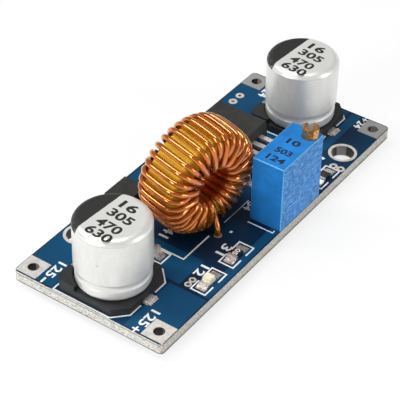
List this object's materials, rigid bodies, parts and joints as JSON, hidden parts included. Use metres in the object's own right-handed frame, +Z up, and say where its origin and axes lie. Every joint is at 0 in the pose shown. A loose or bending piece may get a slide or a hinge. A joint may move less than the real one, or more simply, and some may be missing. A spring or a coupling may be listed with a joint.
{
  "type": "buck converter module",
  "caption": "Step-down converter module: circuit board with a capacitor can at each end, a ring inductor, a regulator and a screw-adjusted trimmer",
  "frame": {"origin": "on the board's underside, at its centre, halfway between the four terminal holes", "axes": "+X along the board towards the input end, +Y towards the long edge beside the regulator, +Z up out of the component side"},
  "size_m": [0.054, 0.023, 0.0185],
  "materials": {
    "board_laminate": "satin solder mask over laminate",
    "tinned_land": "tinned",
    "solder": "bright solder",
    "tinned_metal": "tinned",
    "can_aluminium": "satin",
    "base_moulding": "matt",
    "core_coating": "satin coating",
    "enamelled_wire": "gloss enamel",
    "package_moulding": "matt",
    "trimmer_moulding": "gloss",
    "sealing_resin": "matt",
    "screw_brass": "turned",
    "seal_rubber": "matt",
    "wheel_moulding": "matt",
    "spring_brass": "bright",
    "white_ceramic": "matt",
    "track_film": "matt",
    "lens_resin": "clear gloss",
    "resistor_ceramic": "glossy glaze on top",
    "capacitor_ceramic": "matt"
  },
  "bodies": {
    "board": {"ceramic_capacitor_body": "capacitor_ceramic", "ceramic_capacitor_end_caps": "tinned_metal", "chip_solder": "solder", "circuit_board": "board_laminate", "diode_anode": "tinned_metal", "diode_body": "package_moulding", "diode_cathode": "tinned_metal", "diode_solder": "solder", "feedback_resistor_body": "resistor_ceramic", "feedback_resistor_end_caps": "tinned_metal", "inductor_core": "core_coating", "inductor_solder": "solder", "inductor_winding": "enamelled_wire", "input_capacitor_base": "base_moulding", "input_capacitor_can": "can_aluminium", "input_capacitor_minus_terminal": "tinned_metal", "input_capacitor_plus_terminal": "tinned_metal", "input_capacitor_solder": "solder", "input_minus_pad": "tinned_land", "input_plus_pad": "tinned_land", "led_body": "white_ceramic", "led_end_caps": "tinned_metal", "led_lens": "lens_resin", "led_resistor_body": "resistor_ceramic", "led_resistor_end_caps": "tinned_metal", "mounting_hole_plating_input_end": "tinned_land", "mounting_hole_plating_output_end": "tinned_land", "output_capacitor_base": "base_moulding", "output_capacitor_can": "can_aluminium", "output_capacitor_minus_terminal": "tinned_metal", "output_capacitor_plus_terminal": "tinned_metal", "output_capacitor_solder": "solder", "output_minus_pad": "tinned_land", "output_plus_pad": "tinned_land", "plated_vias": "tinned_land", "regulator_body": "package_moulding", "regulator_lead_1": "tinned_metal", "regulator_lead_2": "tinned_metal", "regulator_lead_3": "tinned_metal", "regulator_lead_4": "tinned_metal", "regulator_lead_5": "tinned_metal", "regulator_solder": "solder", "regulator_tab": "tinned_metal", "resistor_element": "white_ceramic", "resistor_track": "track_film", "trimmer_base": "sealing_resin", "trimmer_housing": "trimmer_moulding", "trimmer_pin_1": "tinned_metal", "trimmer_pin_2": "tinned_metal", "trimmer_pin_3": "tinned_metal", "trimmer_solder": "solder"},
    "adjusting_screw": {"adjusting_screw": "screw_brass", "trimmer_o_ring": "seal_rubber"},
    "wiper_wheel": {"worm_wheel": "wheel_moulding", "trimmer_wiper": "spring_brass"}
  },
  "joints": [
    {"name": "screw_turn", "type": "hinge", "parent": "board", "child": "adjusting_screw", "pos_m": [0.0071, -0.01015, 0.0116], "axis": [0, 0, 1], "range_deg": [-4500, 4500]},
    {"name": "wheel_turn", "type": "hinge", "parent": "board", "child": "wiper_wheel", "pos_m": [0.00335, -0.0103, 0.0065], "axis": [0, 1, 0], "range_deg": [-140.62, 140.62]}
  ],
  "couplings": [
    {"joint": "wheel_turn", "follows": "screw_turn", "ratio": 0.03125}
  ]
}
